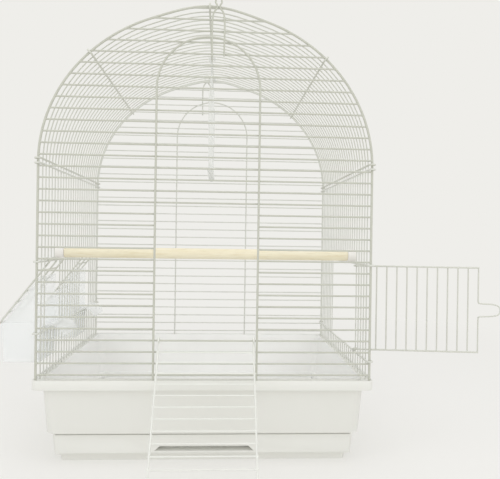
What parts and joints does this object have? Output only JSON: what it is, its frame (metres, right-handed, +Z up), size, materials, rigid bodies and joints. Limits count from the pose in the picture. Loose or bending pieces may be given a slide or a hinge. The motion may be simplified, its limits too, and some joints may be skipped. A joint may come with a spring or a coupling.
{
  "type": "round-top bird cage",
  "caption": "Round-top wire bird cage on a moulded base with a pull-out tray, ramp door, side door, hooded feeders, perch and swing.",
  "frame": {"origin": "centre of the base's underside", "axes": "+X to the side door, -Y out of the front, +Z up"},
  "size_m": [0.5426, 0.3843, 0.4806],
  "materials": {
    "base": "warm white moulded plastic, smooth",
    "tray": "white moulded plastic, smooth",
    "wire": "off-white powder coat",
    "feeder": "clear moulded plastic",
    "perch": "bare sanded wood",
    "perch_cap": "satin white plastic",
    "swing": "milky translucent plastic"
  },
  "bodies": {
    "root": {"base_tub": "base", "front_panel": "wire", "back_panel": "wire", "roof_panel": "wire", "left_wall_panel": "wire", "right_wall_panel": "wire", "feeder_cup_front": "feeder", "feeder_cup_rear": "feeder", "feeder_hood_front": "feeder", "feeder_hood_rear": "feeder"},
    "tray": {"pull_out_tray": "tray"},
    "ramp": {"front_ramp_door": "wire"},
    "door": {"side_door": "wire"},
    "flap_front": {"feeder_flap_front": "wire"},
    "flap_rear": {"feeder_flap_rear": "wire"},
    "perch": {"perch_dowel": "perch", "perch_cap_left": "perch_cap", "perch_cap_right": "perch_cap"},
    "swing": {"swing_frame": "swing", "swing_bar": "swing"}
  },
  "joints": [
    {"name": "tray_slide", "type": "slide", "parent": "root", "child": "tray", "axis": [0, -1, 0], "range_m": [0, 0.085]},
    {"name": "ramp_hinge", "type": "hinge", "parent": "root", "child": "ramp", "pos_m": [0.001, -0.14, 0.1291], "axis": [-1, 0, 0], "range_deg": [0, 141.2]},
    {"name": "side_door_hinge", "type": "hinge", "parent": "root", "child": "door", "pos_m": [0.1688, -0.084, 0.1578], "axis": [0, 0, 1], "range_deg": [-57, 97]},
    {"name": "flap_front_hinge", "type": "hinge", "parent": "root", "child": "flap_front", "pos_m": [-0.1672, -0.0896, 0.2078], "axis": [0, 1, 0], "range_deg": [0, 105]},
    {"name": "flap_rear_hinge", "type": "hinge", "parent": "root", "child": "flap_rear", "pos_m": [-0.1672, 0.056, 0.2078], "axis": [0, 1, 0], "range_deg": [0, 105]},
    {"name": "perch_lift", "type": "slide", "parent": "root", "child": "perch", "axis": [0, 0, 1], "range_m": [0, 0.08]},
    {"name": "swing_hinge", "type": "hinge", "parent": "root", "child": "swing", "pos_m": [0, 0.0728, 0.4674], "axis": [0, 1, 0], "range_deg": [-40, 40]}
  ]
}
